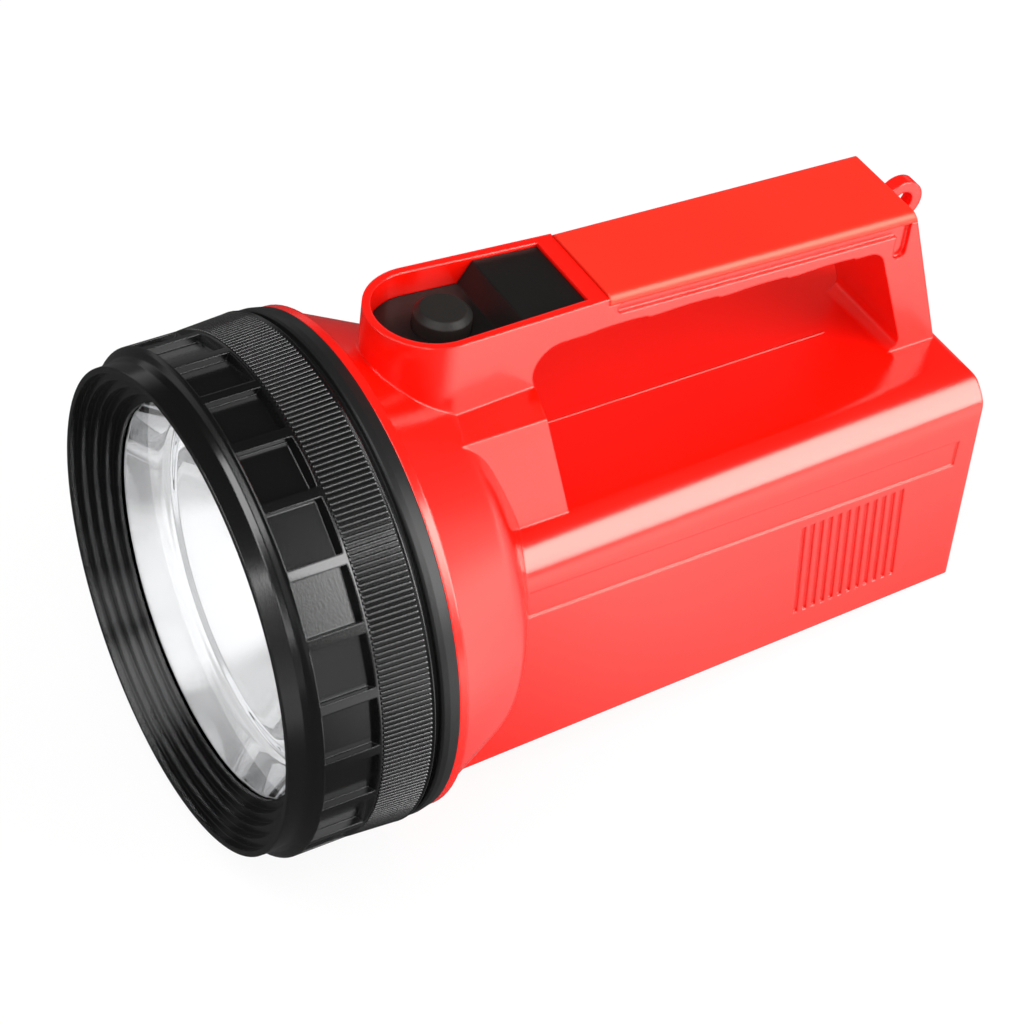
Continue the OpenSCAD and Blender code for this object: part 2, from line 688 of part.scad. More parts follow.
module switch_body() {
    color([0.25, 0.25, 0.25]) lamp() on_top()
        translate([-switch_w / 2, top_t(button_at) - switch_l / 2, pocket_z]) cube([switch_w, switch_l, switch_h]);
}
module switch_terminals() {
    color(brass) lamp() on_top() for (x = [-3, 3])
        translate([x - 0.4, top_t(button_at) - 2.4, pocket_z - 7]) cube([0.8, 4.8, 7]);
}

body_shell();
handle_cover();
bezel_ring();
seal_ring();
lens();
lens_gasket();
reflector();
bulb_glass();
bulb_base();
bulb_holder();
bulb_contact();
contact_board();
contact_centre();
contact_side();
battery_case();
battery_top();
battery_springs();
battery_pad();
switch_plate();
push_button();
button_spring();
switch_body();
switch_terminals();
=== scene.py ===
# Hand lantern: finishes, fine pieces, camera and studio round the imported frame
import json
import math
import bmesh
import bpy
from mathutils import Matrix, Vector


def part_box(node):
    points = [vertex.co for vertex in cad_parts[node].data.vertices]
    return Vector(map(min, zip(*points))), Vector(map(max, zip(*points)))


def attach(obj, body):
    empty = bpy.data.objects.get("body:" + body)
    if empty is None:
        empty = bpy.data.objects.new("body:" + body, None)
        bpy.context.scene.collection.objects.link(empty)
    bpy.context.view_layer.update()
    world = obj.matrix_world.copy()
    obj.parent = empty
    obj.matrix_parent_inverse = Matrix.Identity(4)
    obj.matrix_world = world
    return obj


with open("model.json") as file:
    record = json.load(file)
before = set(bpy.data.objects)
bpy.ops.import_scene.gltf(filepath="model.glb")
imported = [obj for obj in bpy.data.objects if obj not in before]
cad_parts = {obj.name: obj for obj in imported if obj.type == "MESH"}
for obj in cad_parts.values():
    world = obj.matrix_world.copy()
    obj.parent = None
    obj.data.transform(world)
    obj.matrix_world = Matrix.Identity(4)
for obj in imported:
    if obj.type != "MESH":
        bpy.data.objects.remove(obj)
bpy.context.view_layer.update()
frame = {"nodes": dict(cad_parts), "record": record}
nodes = frame["nodes"]
scene = bpy.context.scene
scene.view_settings.view_transform = "Standard"
print("frame loaded with", len(nodes), "nodes")

# Beam axis: runs along Y at this height
beamHeight = (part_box("bezel_ring")[0].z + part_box("bezel_ring")[1].z) / 2
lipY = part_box("bezel_ring")[0].y


def nodeTree(name):
    material = bpy.data.materials.new(name)
    material.use_nodes = True
    tree = material.node_tree
    tree.nodes.clear()
    return material, tree


def addNode(tree, kind, **values):
    node = tree.nodes.new(kind)
    for key, value in values.items():
        setattr(node, key, value)
    return node


def setIn(node, **values):
    for key, value in values.items():
        node.inputs[key.replace("_", " ")].default_value = value
    return node


def softRange(tree, low, high):
    node = addNode(tree, "ShaderNodeMapRange", interpolation_type="SMOOTHSTEP")
    return setIn(node, From_Min=low, From_Max=high)


def link(tree, out, into):
    tree.links.new(out, into)


# Direction from the lamp: degrees round from straight in front, and degrees up
def wayTo(azimuth, elevation):
    turn = math.radians(azimuth)
    rise = math.radians(elevation)
    return Vector((math.sin(turn) * math.cos(rise), -math.cos(turn) * math.cos(rise), math.sin(rise)))


# Moulded plastic: soft edges, a faint flow mottling and a very fine skin
plasticGrain = {"flowDetail": 3.0, "flowRough": 0.5, "skinDetail": 2.0, "skinRough": 0.6,
                "skinDepth": 0.0002, "edgeSamples": 6}
plainSheen = (1, 1, 1)


def mouldedPlastic(name, look):
    material, tree = nodeTree(name)
    spots = addNode(tree, "ShaderNodeTexCoord")
    shader = addNode(tree, "ShaderNodeBsdfPrincipled")
    out = addNode(tree, "ShaderNodeOutputMaterial")
    flow = setIn(addNode(tree, "ShaderNodeTexNoise"), Scale=look["flowScale"],
                 Detail=plasticGrain["flowDetail"], Roughness=plasticGrain["flowRough"])
    skin = setIn(addNode(tree, "ShaderNodeTexNoise"), Scale=look["skinScale"],
                 Detail=plasticGrain["skinDetail"], Roughness=plasticGrain["skinRough"])
    tint = addNode(tree, "ShaderNodeValToRGB")
    tint.color_ramp.elements[0].color = (*look["deep"], 1)
    tint.color_ramp.elements[1].color = (*look["pale"], 1)
    gloss = setIn(addNode(tree, "ShaderNodeMapRange"), To_Min=look["rough"] - look["roughVary"],
                  To_Max=look["rough"] + look["roughVary"])
    bump = setIn(addNode(tree, "ShaderNodeBump"), Strength=look["skinBump"],
                 Distance=plasticGrain["skinDepth"])
    for texture in (flow, skin):
        link(tree, spots.outputs["Object"], texture.inputs["Vector"])
    link(tree, flow.outputs["Fac"], tint.inputs["Fac"])
    link(tree, flow.outputs["Fac"], gloss.inputs["Value"])
    link(tree, skin.outputs["Fac"], bump.inputs["Height"])
    if "edge" in look:
        edge = addNode(tree, "ShaderNodeBevel", samples=plasticGrain["edgeSamples"])
        edge.inputs["Radius"].default_value = look["edge"]
        link(tree, edge.outputs["Normal"], bump.inputs["Normal"])
    link(tree, tint.outputs["Color"], shader.inputs["Base Color"])
    link(tree, gloss.outputs["Result"], shader.inputs["Roughness"])
    link(tree, bump.outputs["Normal"], shader.inputs["Normal"])
    shader.inputs["Specular IOR Level"].default_value = look["specular"]
    shader.inputs["Coat Weight"].default_value = look.get("coat", 0.0)
    shader.inputs["Coat Roughness"].default_value = look["rough"]
    shader.inputs["Specular Tint"].default_value = (*look.get("sheenTint", plainSheen), 1)
    link(tree, shader.outputs["BSDF"], out.inputs["Surface"])
    return material


# Metal with fine turning or drawing lines
metalLines = {"detail": 4.0, "rough": 0.6, "low": 0.3, "high": 0.7, "glossShare": 0.7, "dullShare": 1.3,
              "depth": 0.0001}


def metalFinish(name, look):
    material, tree = nodeTree(name)
    spots = addNode(tree, "ShaderNodeTexCoord")
    place = addNode(tree, "ShaderNodeMapping")
    place.inputs["Scale"].default_value = look["stretch"]
    shader = addNode(tree, "ShaderNodeBsdfPrincipled")
    out = addNode(tree, "ShaderNodeOutputMaterial")
    lines = setIn(addNode(tree, "ShaderNodeTexNoise"), Scale=look["lineScale"],
                  Detail=metalLines["detail"], Roughness=metalLines["rough"])
    tint = addNode(tree, "ShaderNodeValToRGB")
    tint.color_ramp.elements[0].color = (*look["deep"], 1)
    tint.color_ramp.elements[1].color = (*look["pale"], 1)
    gloss = setIn(addNode(tree, "ShaderNodeMapRange"),
                  From_Min=metalLines["low"], To_Min=look["rough"] * metalLines["glossShare"],
                  From_Max=metalLines["high"], To_Max=look["rough"] * metalLines["dullShare"])
    bump = setIn(addNode(tree, "ShaderNodeBump"), Strength=look["bump"], Distance=metalLines["depth"])
    link(tree, spots.outputs["Object"], place.inputs["Vector"])
    link(tree, place.outputs["Vector"], lines.inputs["Vector"])
    link(tree, lines.outputs["Fac"], tint.inputs["Fac"])
    link(tree, lines.outputs["Fac"], gloss.inputs["Value"])
    link(tree, lines.outputs["Fac"], bump.inputs["Height"])
    link(tree, tint.outputs["Color"], shader.inputs["Base Color"])
    link(tree, gloss.outputs["Result"], shader.inputs["Roughness"])
    link(tree, bump.outputs["Normal"], shader.inputs["Normal"])
    shader.inputs["Metallic"].default_value = 1.0
    link(tree, shader.outputs["BSDF"], out.inputs["Surface"])
    return material


# Clear plastic or glass, with faint ripples
clearRipple = {"detail": 2.0, "rough": 0.5, "low": 0.35, "high": 0.65, "clearShare": 0.5, "hazyShare": 1.5,
               "depth": 0.0001}


def clearFinish(name, look):
    material, tree = nodeTree(name)
    spots = addNode(tree, "ShaderNodeTexCoord")
    shader = addNode(tree, "ShaderNodeBsdfPrincipled")
    out = addNode(tree, "ShaderNodeOutputMaterial")
    ripple = setIn(addNode(tree, "ShaderNodeTexNoise"), Scale=look["rippleScale"],
                   Detail=clearRipple["detail"], Roughness=clearRipple["rough"])
    haze = setIn(addNode(tree, "ShaderNodeMapRange"),
                 From_Min=clearRipple["low"], To_Min=look["rough"] * clearRipple["clearShare"],
                 From_Max=clearRipple["high"], To_Max=look["rough"] * clearRipple["hazyShare"])
    bump = setIn(addNode(tree, "ShaderNodeBump"), Strength=look["bump"], Distance=clearRipple["depth"])
    link(tree, spots.outputs["Object"], ripple.inputs["Vector"])
    link(tree, ripple.outputs["Fac"], bump.inputs["Height"])
    link(tree, ripple.outputs["Fac"], haze.inputs["Value"])
    link(tree, haze.outputs["Result"], shader.inputs["Roughness"])
    link(tree, bump.outputs["Normal"], shader.inputs["Normal"])
    shader.inputs["Base Color"].default_value = (*look["tint"], 1)
    shader.inputs["Transmission Weight"].default_value = 1.0
    shader.inputs["IOR"].default_value = look["ior"]
    link(tree, shader.outputs["BSDF"], out.inputs["Surface"])
    return material


finishes = {
    "red_plastic": mouldedPlastic("redPlastic", {
        "deep": (0.80, 0.0025, 0.0002), "pale": (0.85, 0.005, 0.0005), "flowScale": 14.0,
        "skinScale": 1800.0, "rough": 0.205, "roughVary": 0.035, "skinBump": 0.05, "edge": 0.0009,
        "specular": 1.0, "sheenTint": (1.0, 0.99, 0.89)}),
    "black_plastic": mouldedPlastic("blackPlastic", {
        "deep": (0.0025, 0.0025, 0.0025), "pale": (0.005, 0.005, 0.005), "flowScale": 20.0,
        "skinScale": 1500.0, "rough": 0.18, "roughVary": 0.04, "skinBump": 0.05, "edge": 0.0006,
        "specular": 0.85}),
    "seal_rubber": mouldedPlastic("sealRubber", {
        "deep": (0.006, 0.006, 0.006), "pale": (0.013, 0.013, 0.013), "flowScale": 30.0,
        "skinScale": 1200.0, "rough": 0.34, "roughVary": 0.05, "skinBump": 0.12, "edge": 0.0005,
        "specular": 0.3}),
    "button_rubber": mouldedPlastic("buttonRubber", {
        "deep": (0.010, 0.009, 0.008), "pale": (0.018, 0.016, 0.014), "flowScale": 60.0,
        "skinScale": 1600.0, "rough": 0.48, "roughVary": 0.06, "skinBump": 0.2, "edge": 0.0007,
        "specular": 0.3}),
    "dark_plastic": mouldedPlastic("darkPlastic", {
        "deep": (0.016, 0.016, 0.016), "pale": (0.03, 0.03, 0.03), "flowScale": 40.0, "skinScale": 900.0,
        "rough": 0.5, "roughVary": 0.06, "skinBump": 0.3, "edge": 0.0003, "specular": 0.4}),
    "board": mouldedPlastic("pressedBoard", {
        "deep": (0.16, 0.09, 0.035), "pale": (0.26, 0.15, 0.06), "flowScale": 220.0, "skinScale": 900.0,
        "rough": 0.6, "roughVary": 0.1, "skinBump": 0.3, "edge": 0.0002, "specular": 0.3}),
    "battery_jacket": mouldedPlastic("batteryJacket", {
        "deep": (0.02, 0.022, 0.03), "pale": (0.035, 0.037, 0.045), "flowScale": 30.0, "skinScale": 700.0,
        "rough": 0.45, "roughVary": 0.08, "skinBump": 0.25, "edge": 0.0006, "specular": 0.4}),
    "foam_pad": mouldedPlastic("foamPad", {
        "deep": (0.01, 0.01, 0.01), "pale": (0.035, 0.035, 0.035), "flowScale": 900.0, "skinScale": 1400.0,
        "rough": 0.9, "roughVary": 0.05, "skinBump": 0.9, "edge": 0.0008, "specular": 0.1}),
    "mirror_coat": metalFinish("mirrorCoat", {
        "deep": (0.86, 0.87, 0.885), "pale": (0.93, 0.935, 0.945), "stretch": (1, 1, 1), "lineScale": 60.0,
        "rough": 0.03, "bump": 0.02}),
    "brass": metalFinish("plainBrass", {
        "deep": (0.6, 0.4, 0.14), "pale": (0.78, 0.56, 0.22), "stretch": (1, 8, 1), "lineScale": 400.0,
        "rough": 0.25, "bump": 0.1}),
    "spring_steel": metalFinish("springSteel", {
        "deep": (0.5, 0.5, 0.5), "pale": (0.72, 0.72, 0.72), "stretch": (1, 1, 8), "lineScale": 400.0,
        "rough": 0.25, "bump": 0.1}),
    "clear_lens": clearFinish("clearLens", {
        "tint": (1.0, 1.0, 1.0), "ior": 1.49, "rough": 0.004, "rippleScale": 12.0, "bump": 0.02}),
    "bulb_glass": clearFinish("bulbGlass", {
        "tint": (1.0, 1.0, 1.0), "ior": 1.5, "rough": 0.01, "rippleScale": 80.0, "bump": 0.03}),
}
# Pieces of the same plastic with a finer, duller skin than the rest
dullSkins = {
    "handle_cover": mouldedPlastic("coverRed", {
        "deep": (0.79, 0.008, 0.0008), "pale": (0.84, 0.013, 0.0014), "flowScale": 14.0,
        "skinScale": 1400.0, "rough": 0.4, "roughVary": 0.03, "skinBump": 0.1, "edge": 0.0009,
        "specular": 0.8, "sheenTint": (1.0, 0.93, 0.7)}),
    "switch_plate": mouldedPlastic("switchBlack", {
        "deep": (0.005, 0.0045, 0.004), "pale": (0.009, 0.008, 0.0075), "flowScale": 30.0,
        "skinScale": 1400.0, "rough": 0.4, "roughVary": 0.04, "skinBump": 0.12, "edge": 0.0008,
        "specular": 0.33}),
}
slotOf = {part["node"]: part["material_slot"] for part in frame["record"]["subparts"]}
for nodeName, nodeObject in nodes.items():
    nodeObject.data.materials.clear()
    nodeObject.data.materials.append(dullSkins.get(nodeName, finishes[slotOf[nodeName]]))
print("finishes set:", len(finishes))

# Fine ribs round the rear band of the screw ring
ribs = {"count": 292, "front": 0.0250, "rear": 0.0383, "frontRadius": 0.0697, "rearRadius": 0.0705,
        "width": 0.0009, "height": 0.00042, "endShare": 0.03, "sides": 8, "lengthParts": 3}


def ribTree(material):
    tree = bpy.data.node_groups.new("ringRibs", "GeometryNodeTree")
    face = tree.interface
    face.new_socket("Geometry", in_out="OUTPUT", socket_type="NodeSocketGeometry")
    sizes = {}
    for name in ("Rib Length", "Rib Width", "Rib Height", "Mid Radius", "Mid Place", "Lean", "Axis Height",
                 "End Share"):
        sizes[name] = face.new_socket(name, in_out="INPUT", socket_type="NodeSocketFloat")
    sizes["Count"] = face.new_socket("Count", in_out="INPUT", socket_type="NodeSocketInt")
    group = addNode(tree, "NodeGroupInput")
    out = addNode(tree, "NodeGroupOutput")
    # A rod one unit long and wide: its middle part runs straight and its outer two parts are short ends
    rodEnd = 0.5
    rod = setIn(addNode(tree, "GeometryNodeMeshCylinder"), Vertices=ribs["sides"], Radius=rodEnd,
                Depth=2 * rodEnd, Side_Segments=ribs["lengthParts"])
    spot = addNode(tree, "GeometryNodeInputPosition")
    spotParts = addNode(tree, "ShaderNodeSeparateXYZ")
    sideSign = addNode(tree, "ShaderNodeMath", operation="SIGN")
    offMiddle = addNode(tree, "ShaderNodeMath", operation="ABSOLUTE")
    endRing = setIn(addNode(tree, "ShaderNodeMapRange"), From_Min=rodEnd / ribs["lengthParts"],
                    From_Max=rodEnd, To_Max=rodEnd)
    innerPlace = addNode(tree, "ShaderNodeMath", operation="SUBTRACT")
    innerPlace.inputs[0].default_value = rodEnd
    newPlace = addNode(tree, "ShaderNodeMath", operation="MULTIPLY")
    newSpot = addNode(tree, "ShaderNodeCombineXYZ")
    shiftRings = addNode(tree, "GeometryNodeSetPosition")
    smooth = addNode(tree, "GeometryNodeSetShadeSmooth")
    # The rod laid along the beam and sized
    lay = addNode(tree, "GeometryNodeTransform")
    size = addNode(tree, "ShaderNodeCombineXYZ")
    layTurn = addNode(tree, "ShaderNodeCombineXYZ")
    turnAdd = addNode(tree, "ShaderNodeMath")
    turnAdd.inputs[1].default_value = math.pi / 2
    put = addNode(tree, "ShaderNodeCombineXYZ")
    # One rod for each point, turned round the beam by its number
    line = setIn(addNode(tree, "GeometryNodeMeshLine"), Offset=(0, 0, 0))
    index = addNode(tree, "GeometryNodeInputIndex")
    step = addNode(tree, "ShaderNodeMath", operation="DIVIDE")
    step.inputs[0].default_value = 2 * math.pi
    angle = addNode(tree, "ShaderNodeMath", operation="MULTIPLY")
    turn = addNode(tree, "ShaderNodeCombineXYZ")
    spread = addNode(tree, "GeometryNodeInstanceOnPoints")
    rise = addNode(tree, "GeometryNodeTransform")
    riseBy = addNode(tree, "ShaderNodeCombineXYZ")
    solid = addNode(tree, "GeometryNodeRealizeInstances")
    dress = setIn(addNode(tree, "GeometryNodeSetMaterial"), Material=material)
    join = tree.links.new
    join(group.outputs["Rib Width"], size.inputs["X"])
    join(group.outputs["Rib Height"], size.inputs["Y"])
    join(group.outputs["Rib Length"], size.inputs["Z"])
    join(spot.outputs["Position"], spotParts.inputs["Vector"])
    join(spotParts.outputs["Z"], sideSign.inputs[0])
    join(spotParts.outputs["Z"], offMiddle.inputs[0])
    join(offMiddle.outputs["Value"], endRing.inputs["Value"])
    join(group.outputs["End Share"], innerPlace.inputs[1])
    join(innerPlace.outputs["Value"], endRing.inputs["To Min"])
    join(sideSign.outputs["Value"], newPlace.inputs[0])
    join(endRing.outputs["Result"], newPlace.inputs[1])
    join(spotParts.outputs["X"], newSpot.inputs["X"])
    join(spotParts.outputs["Y"], newSpot.inputs["Y"])
    join(newPlace.outputs["Value"], newSpot.inputs["Z"])
    join(rod.outputs["Mesh"], shiftRings.inputs["Geometry"])
    join(newSpot.outputs["Vector"], shiftRings.inputs["Position"])
    join(shiftRings.outputs["Geometry"], smooth.inputs["Geometry"])
    join(rod.outputs["Side"], smooth.inputs["Shade Smooth"])
    join(smooth.outputs["Geometry"], lay.inputs["Geometry"])
    join(size.outputs["Vector"], lay.inputs["Scale"])
    join(group.outputs["Lean"], turnAdd.inputs[0])
    join(turnAdd.outputs["Value"], layTurn.inputs["X"])
    join(layTurn.outputs["Vector"], lay.inputs["Rotation"])
    join(group.outputs["Mid Place"], put.inputs["Y"])
    join(group.outputs["Mid Radius"], put.inputs["Z"])
    join(put.outputs["Vector"], lay.inputs["Translation"])
    join(group.outputs["Count"], line.inputs["Count"])
    join(group.outputs["Count"], step.inputs[1])
    join(index.outputs["Index"], angle.inputs[0])
    join(step.outputs["Value"], angle.inputs[1])
    join(angle.outputs["Value"], turn.inputs["Y"])
    join(line.outputs["Mesh"], spread.inputs["Points"])
    join(lay.outputs["Geometry"], spread.inputs["Instance"])
    join(turn.outputs["Vector"], spread.inputs["Rotation"])
    join(group.outputs["Axis Height"], riseBy.inputs["Z"])
    join(spread.outputs["Instances"], rise.inputs["Geometry"])
    join(riseBy.outputs["Vector"], rise.inputs["Translation"])
    join(rise.outputs["Geometry"], solid.inputs["Geometry"])
    join(solid.outputs["Geometry"], dress.inputs["Geometry"])
    join(dress.outputs["Geometry"], out.inputs["Geometry"])
    return tree, {name: sock.identifier for name, sock in sizes.items()}


def bakeTree(name, tree, ids, values):
    carrier = bpy.data.objects.new(name + "Maker", bpy.data.meshes.new(name + "Maker"))
    scene.collection.objects.link(carrier)
    modifier = carrier.modifiers.new("make", "NODES")
    modifier.node_group = tree
    for key, value in values.items():
        modifier[ids[key]] = value
    bpy.context.view_layer.update()
    done = carrier.evaluated_get(bpy.context.evaluated_depsgraph_get())
    mesh = bpy.data.meshes.new_from_object(done)
    mesh.name = name
    carrier.modifiers.remove(modifier)
    bpy.data.objects.remove(carrier)
    piece = bpy.data.objects.new(name, mesh)
    scene.collection.objects.link(piece)
    return piece


lean = math.atan2(ribs["rearRadius"] - ribs["frontRadius"], ribs["rear"] - ribs["front"])
# The ribs' black is lighter than the ring's own black plastic: a painted sheen that lifts them as their
# highlights would
ribBlackPaintedSheen = mouldedPlastic("ribBlackPaintedSheen", {
    "deep": (0.010, 0.010, 0.010), "pale": (0.016, 0.016, 0.016), "flowScale": 20.0, "skinScale": 1500.0,
    "rough": 0.24, "roughVary": 0.025, "skinBump": 0.05, "specular": 1.0, "coat": 1.0})
tree, ids = ribTree(ribBlackPaintedSheen)
ribBand = bakeTree("ringRibs", tree, ids, {
    "Rib Length": math.hypot(ribs["rear"] - ribs["front"], ribs["rearRadius"] - ribs["frontRadius"]),
    "Rib Width": ribs["width"], "Rib Height": ribs["height"] * 2,
    "Mid Radius": (ribs["frontRadius"] + ribs["rearRadius"]) / 2,
    "Mid Place": lipY + (ribs["front"] + ribs["rear"]) / 2, "Lean": lean, "Axis Height": beamHeight,
    "End Share": ribs["endShare"], "Count": ribs["count"]})
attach(ribBand, "ring")
print("ring ribs:", ribs["count"])

# Bright coat on the inside of the reflector's parabola, with a low ridge round it
coat = {"focal": 0.01199, "vertex": 0.07697, "rim": 0.0549, "lampHole": 0.0058, "skin": 0.00015,
        "sink": 0.0004, "ridgeOut": 0.0508, "ridgeIn": 0.0490, "ridgeHeight": 0.0006, "endStep": 0.0001,
        "rimSteps": 8, "ridgeSteps": 14, "bowlSteps": 64, "turns": 256}


def solidPiece(name, points, faces, material, smooth):
    mesh = bpy.data.meshes.new(name)
    mesh.from_pydata(points, [], faces)
    mesh.polygons.foreach_set("use_smooth", [smooth] * len(faces))
    work = bmesh.new()
    work.from_mesh(mesh)
    bmesh.ops.recalc_face_normals(work, faces=work.faces)
    work.to_mesh(mesh)
    work.free()
    mesh.materials.append(material)
    piece = bpy.data.objects.new(name, mesh)
    scene.collection.objects.link(piece)
    return piece


def turnedPiece(name, outline, turns, material):
    points = []
    for turn in range(turns):
        way = 2 * math.pi * turn / turns
        for radius, station in outline:
            points.append((radius * math.sin(way), lipY + station, beamHeight + radius * math.cos(way)))
    count = len(outline)
    faces = []
    for turn in range(turns):
        here, there = turn * count, (turn + 1) % turns * count
        for row in range(count):
            after = (row + 1) % count
            faces.append((here + row, there + row, there + after, here + after))
    return solidPiece(name, points, faces, material, True)


def bowlSpot(radius, lift):
    steep = 2 * coat["focal"] / radius
    square = math.hypot(1, steep)
    station = coat["vertex"] - radius ** 2 / (4 * coat["focal"])
    return radius - lift / square, station - lift * steep / square


def ridgeLift(radius):
    share = (coat["ridgeOut"] - radius) / (coat["ridgeOut"] - coat["ridgeIn"])
    if not 0 < share < 1:
        return 0.0
    return coat["ridgeHeight"] * (1 - math.cos(2 * math.pi * share)) / 2


zones = [(coat["rim"], coat["rim"] - coat["endStep"], 1),
         (coat["rim"] - coat["endStep"], coat["ridgeOut"], coat["rimSteps"]),
         (coat["ridgeOut"], coat["ridgeIn"], coat["ridgeSteps"]),
         (coat["ridgeIn"], coat["lampHole"] + coat["endStep"], coat["bowlSteps"]),
         (coat["lampHole"] + coat["endStep"], coat["lampHole"], 1)]
radii = [coat["rim"]]
for start, stop, count in zones:
    radii += [start + (stop - start) * (ring + 1) / count for ring in range(count)]
outline = [bowlSpot(radius, coat["skin"] + ridgeLift(radius)) for radius in radii]
outline += [bowlSpot(radius, -coat["sink"]) for radius in reversed(radii)]
coatPiece = turnedPiece("reflectorCoat", outline, coat["turns"], finishes["mirror_coat"])
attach(coatPiece, "optics")
print("reflector coat set")

# Fine parting line of the mould along the roof under the grip
seam = {"front": -0.012, "rear": 0.086, "roof": 0.0954, "half": 0.00035, "height": 0.00022, "sink": 0.0003,
        "shoulderOut": 0.6, "shoulderUp": 0.8}
shoulderX = seam["half"] * seam["shoulderOut"]
shoulderZ = seam["height"] * seam["shoulderUp"]
section = [(-seam["half"], -seam["sink"]), (-shoulderX, shoulderZ), (0, seam["height"]),
           (shoulderX, shoulderZ), (seam["half"], -seam["sink"])]
seamPoints = [(x, y, seam["roof"] + z) for y in (seam["front"], seam["rear"]) for x, z in section]
sides = len(section)
seamFaces = [(row, (row + 1) % sides, (row + 1) % sides + sides, row + sides) for row in range(sides)]
seamFaces += [tuple(reversed(range(sides))), tuple(range(sides, 2 * sides))]
partingLine = solidPiece("partingLine", seamPoints, seamFaces, finishes["red_plastic"], False)
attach(partingLine, "case")
print("parting line set")

# Camera at the photo's view
cameraView = {"place": (0.52440, -0.36017, 0.63962), "azimuth": 56.50, "elevation": 42.36, "roll": 5.32,
              "lens": 108.87, "sensor": 36.0}
ahead = -wayTo(cameraView["azimuth"], cameraView["elevation"])
roll = math.radians(cameraView["roll"])
level = ahead.cross(Vector((0, 0, 1))).normalized()
over = level.cross(ahead)
right = level * math.cos(roll) + over * math.sin(roll)
up = over * math.cos(roll) - level * math.sin(roll)
cameraData = bpy.data.cameras.new("photoCamera")
cameraData.lens = cameraView["lens"]
cameraData.sensor_width = cameraView["sensor"]
camera = bpy.data.objects.new("photoCamera", cameraData)
camera.matrix_world = Matrix((
    (right.x, up.x, -ahead.x, cameraView["place"][0]),
    (right.y, up.y, -ahead.y, cameraView["place"][1]),
    (right.z, up.z, -ahead.z, cameraView["place"][2]),
    (0, 0, 0, 1)))
scene.collection.objects.link(camera)
scene.camera = camera
print("camera set")

# Floor: the lamp lies on the ring's rear rim and the body's rear lower edge
# dim, bright, fade and far set the floor's glow in reflections, which carries painted light and shade
floorPlan = {"rimY": -0.0770, "rearY": 0.11575, "rearRise": 0.0235, "half": 4.0, "drop": 0.0003,
             "white": 0.9, "satin": 0.3, "dimX": -0.05, "brightX": 0.2, "dimY": -0.07, "brightY": 0.05,
             "dim": 0.08, "bright": 1.85, "fadeX": 0.28, "farX": 0.55, "far": 0.3, "paper": (0.9, 0.9, 0.9),
             "grainScale": 37.5, "grainDetail": 2.0, "grainBump": 0.02, "grainDepth": 0.0002}
slope = math.atan2(floorPlan["rearRise"], floorPlan["rearY"] - floorPlan["rimY"])
floorMesh = bpy.data.meshes.new("floor")
half = floorPlan["half"]
floorCorners = [(-half, -half, 0), (half, -half, 0), (half, half, 0), (-half, half, 0)]
turnFloor = Matrix.Translation((0, floorPlan["rimY"], -floorPlan["drop"])) @ Matrix.Rotation(slope, 4, "X")
floorMesh.from_pydata([turnFloor @ Vector(corner) for corner in floorCorners], [], [(0, 1, 2, 3)])
floor = bpy.data.objects.new("floor", floorMesh)
scene.collection.objects.link(floor)
floorFinish, tree = nodeTree("paleFloor")
seen = addNode(tree, "ShaderNodeLightPath")
spots = addNode(tree, "ShaderNodeTexCoord")
across = addNode(tree, "ShaderNodeSeparateXYZ")
directShare = addNode(tree, "ShaderNodeMath", operation="MULTIPLY")
directShare.inputs[1].default_value = floorPlan["white"]
share = addNode(tree, "ShaderNodeMath", operation="MAXIMUM")
# Painted light and shade on the floor, seen only in reflections: its glow is dim in front and to the left,
# where the lamp's shadow would fall, bright to the right and rear, where the side softbox would light it,
# and fainter again far out to the right
sweep = setIn(softRange(tree, floorPlan["dimX"], floorPlan["brightX"]), To_Min=floorPlan["dim"],
              To_Max=floorPlan["bright"])
fade = setIn(softRange(tree, floorPlan["fadeX"], floorPlan["farX"]), To_Min=1.0, To_Max=floorPlan["far"])
paintedGlowFaded = addNode(tree, "ShaderNodeMath", operation="MULTIPLY")
paintedGlowRearward = setIn(softRange(tree, floorPlan["dimY"], floorPlan["brightY"]), To_Min=floorPlan["dim"])
strength = setIn(addNode(tree, "ShaderNodeMapRange"), To_Min=1.0)
paper = addNode(tree, "ShaderNodeBsdfPrincipled")
paper.inputs["Base Color"].default_value = (*floorPlan["paper"], 1)
paper.inputs["Roughness"].default_value = floorPlan["satin"]
grain = setIn(addNode(tree, "ShaderNodeTexNoise"), Scale=floorPlan["grainScale"],
              Detail=floorPlan["grainDetail"])
grainBump = setIn(addNode(tree, "ShaderNodeBump"), Strength=floorPlan["grainBump"],
                  Distance=floorPlan["grainDepth"])
glow = addNode(tree, "ShaderNodeEmission")
mix = addNode(tree, "ShaderNodeMixShader")
floorOut = addNode(tree, "ShaderNodeOutputMaterial")
link(tree, seen.outputs["Is Camera Ray"], directShare.inputs[0])
link(tree, directShare.outputs["Value"], share.inputs[0])
link(tree, seen.outputs["Is Glossy Ray"], share.inputs[1])
link(tree, spots.outputs["Object"], across.inputs["Vector"])
link(tree, across.outputs["X"], sweep.inputs["Value"])
link(tree, across.outputs["Y"], paintedGlowRearward.inputs["Value"])
link(tree, across.outputs["X"], fade.inputs["Value"])
link(tree, sweep.outputs["Result"], paintedGlowFaded.inputs[0])
link(tree, fade.outputs["Result"], paintedGlowFaded.inputs[1])
link(tree, paintedGlowFaded.outputs["Value"], paintedGlowRearward.inputs["To Max"])
link(tree, seen.outputs["Is Glossy Ray"], strength.inputs["Value"])
link(tree, paintedGlowRearward.outputs["Result"], strength.inputs["To Max"])
link(tree, strength.outputs["Result"], glow.inputs["Strength"])
link(tree, spots.outputs["Object"], grain.inputs["Vector"])
link(tree, grain.outputs["Fac"], grainBump.inputs["Height"])
